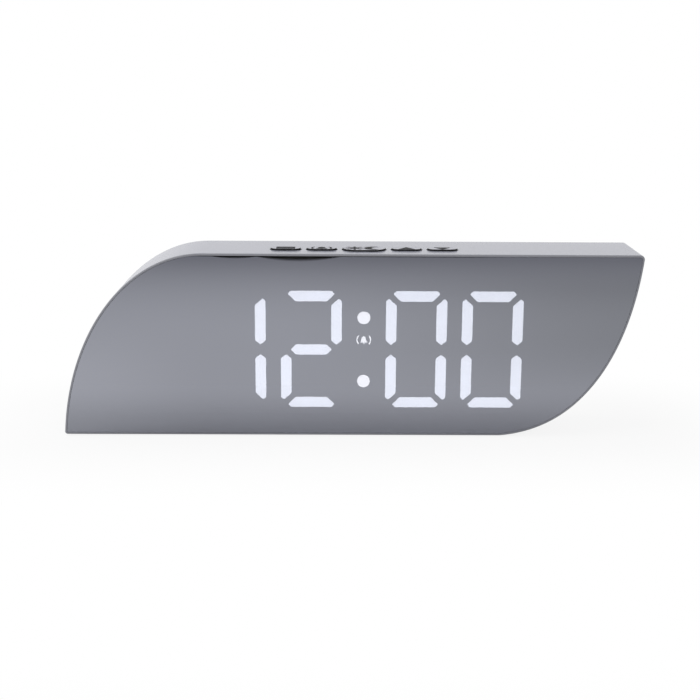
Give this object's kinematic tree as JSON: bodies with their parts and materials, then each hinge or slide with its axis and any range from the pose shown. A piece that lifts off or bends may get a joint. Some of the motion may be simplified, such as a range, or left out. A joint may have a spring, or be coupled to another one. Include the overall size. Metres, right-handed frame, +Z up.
{
  "type": "digital desk clock",
  "caption": "Leaf-shaped digital desk clock with a full mirror front, white light-up numbers, keys along the top edge and a battery door at the back.",
  "frame": {"origin": "middle of the clock's length and depth, at the underside of its feet", "axes": "+Z up, +X to the right seen from the front, the mirror front faces -Y"},
  "size_m": [0.1774, 0.026, 0.0578],
  "materials": {
    "mirror": "half-mirrored acrylic",
    "foam": "black foam tape",
    "casing_plastic": "satin silver-grey moulded plastic",
    "cover_plastic": "fine spark texture",
    "black_film": "printed black film",
    "diffuser": "milky diffusing sheet",
    "white_plastic": "moulded white plastic",
    "circuit_board": "green solder mask",
    "key_plastic": "satin moulded plastic",
    "black_plastic": "moulded",
    "chip": "moulded epoxy",
    "steel": "nickel plated",
    "contact_metal": "nickel plated spring steel",
    "cell_wrap": "plastic wrap over a steel can",
    "pad_rubber": "anti-slip",
    "red_wire": "insulation",
    "black_wire": "insulation",
    "cable": "flat cable",
    "ceramic": "dipped ceramic"
  },
  "bodies": {
    "clock_body": {"mirror_panel": "mirror", "mirror_tape": "foam", "casing": "casing_plastic", "display_mask": "black_film", "display_diffuser": "diffuser", "display_reflector": "white_plastic", "main_board": "circuit_board", "key_board": "circuit_board", "inlet_board": "circuit_board", "rear_cover": "cover_plastic", "buzzer": "black_plastic", "power_socket": "steel", "controller_chip": "chip", "driver_chip": "chip", "crystal": "steel", "capacitor_1": "black_plastic", "capacitor_2": "black_plastic", "temperature_sensor": "ceramic", "key_ribbon": "cable", "battery_lead_black": "black_wire", "battery_lead_red": "red_wire", "contact_negative": "contact_metal", "contact_bridge_left": "contact_metal", "contact_bridge_right": "contact_metal", "contact_positive": "contact_metal", "switch_mode": "steel", "switch_alarm": "steel", "switch_snooze": "steel", "switch_up": "steel", "switch_down": "steel", "board_screw_1": "steel", "cover_screw_1": "steel", "foot_pad_1": "pad_rubber", "board_screw_2": "steel", "cover_screw_2": "steel", "foot_pad_2": "pad_rubber", "board_screw_3": "steel", "cover_screw_3": "steel", "foot_pad_3": "pad_rubber", "board_screw_4": "steel", "cover_screw_4": "steel", "foot_pad_4": "pad_rubber", "key_board_screw_1": "steel", "key_board_screw_2": "steel", "battery_cell_1": "cell_wrap", "battery_cell_2": "cell_wrap", "battery_cell_3": "cell_wrap"},
    "battery_door_body": {"battery_door": "cover_plastic"},
    "mode_key_body": {"key_mode": "key_plastic", "plunger_mode": "black_plastic"},
    "alarm_key_body": {"key_alarm": "key_plastic", "plunger_alarm": "black_plastic"},
    "snooze_key_body": {"key_snooze": "key_plastic", "plunger_snooze": "black_plastic"},
    "up_key_body": {"key_up": "key_plastic", "plunger_up": "black_plastic"},
    "down_key_body": {"key_down": "key_plastic", "plunger_down": "black_plastic"}
  },
  "joints": [
    {"name": "mode_key_press", "type": "slide", "parent": "clock_body", "child": "mode_key_body", "axis": [0, 0, -1], "range_m": [0, 0.0005], "stiffness_N_per_m": 1200},
    {"name": "alarm_key_press", "type": "slide", "parent": "clock_body", "child": "alarm_key_body", "axis": [0, 0, -1], "range_m": [0, 0.0005], "stiffness_N_per_m": 1200},
    {"name": "snooze_key_press", "type": "slide", "parent": "clock_body", "child": "snooze_key_body", "axis": [0, 0, -1], "range_m": [0, 0.0005], "stiffness_N_per_m": 1200},
    {"name": "up_key_press", "type": "slide", "parent": "clock_body", "child": "up_key_body", "axis": [0, 0, -1], "range_m": [0, 0.0005], "stiffness_N_per_m": 1200},
    {"name": "down_key_press", "type": "slide", "parent": "clock_body", "child": "down_key_body", "axis": [0, 0, -1], "range_m": [0, 0.0005], "stiffness_N_per_m": 1200},
    {"name": "battery_door_hinge", "type": "hinge", "parent": "clock_body", "child": "battery_door_body", "pos_m": [0.0191, 0.013, 0.0429], "axis": [1, 0, 0], "range_deg": [0, 75]}
  ]
}
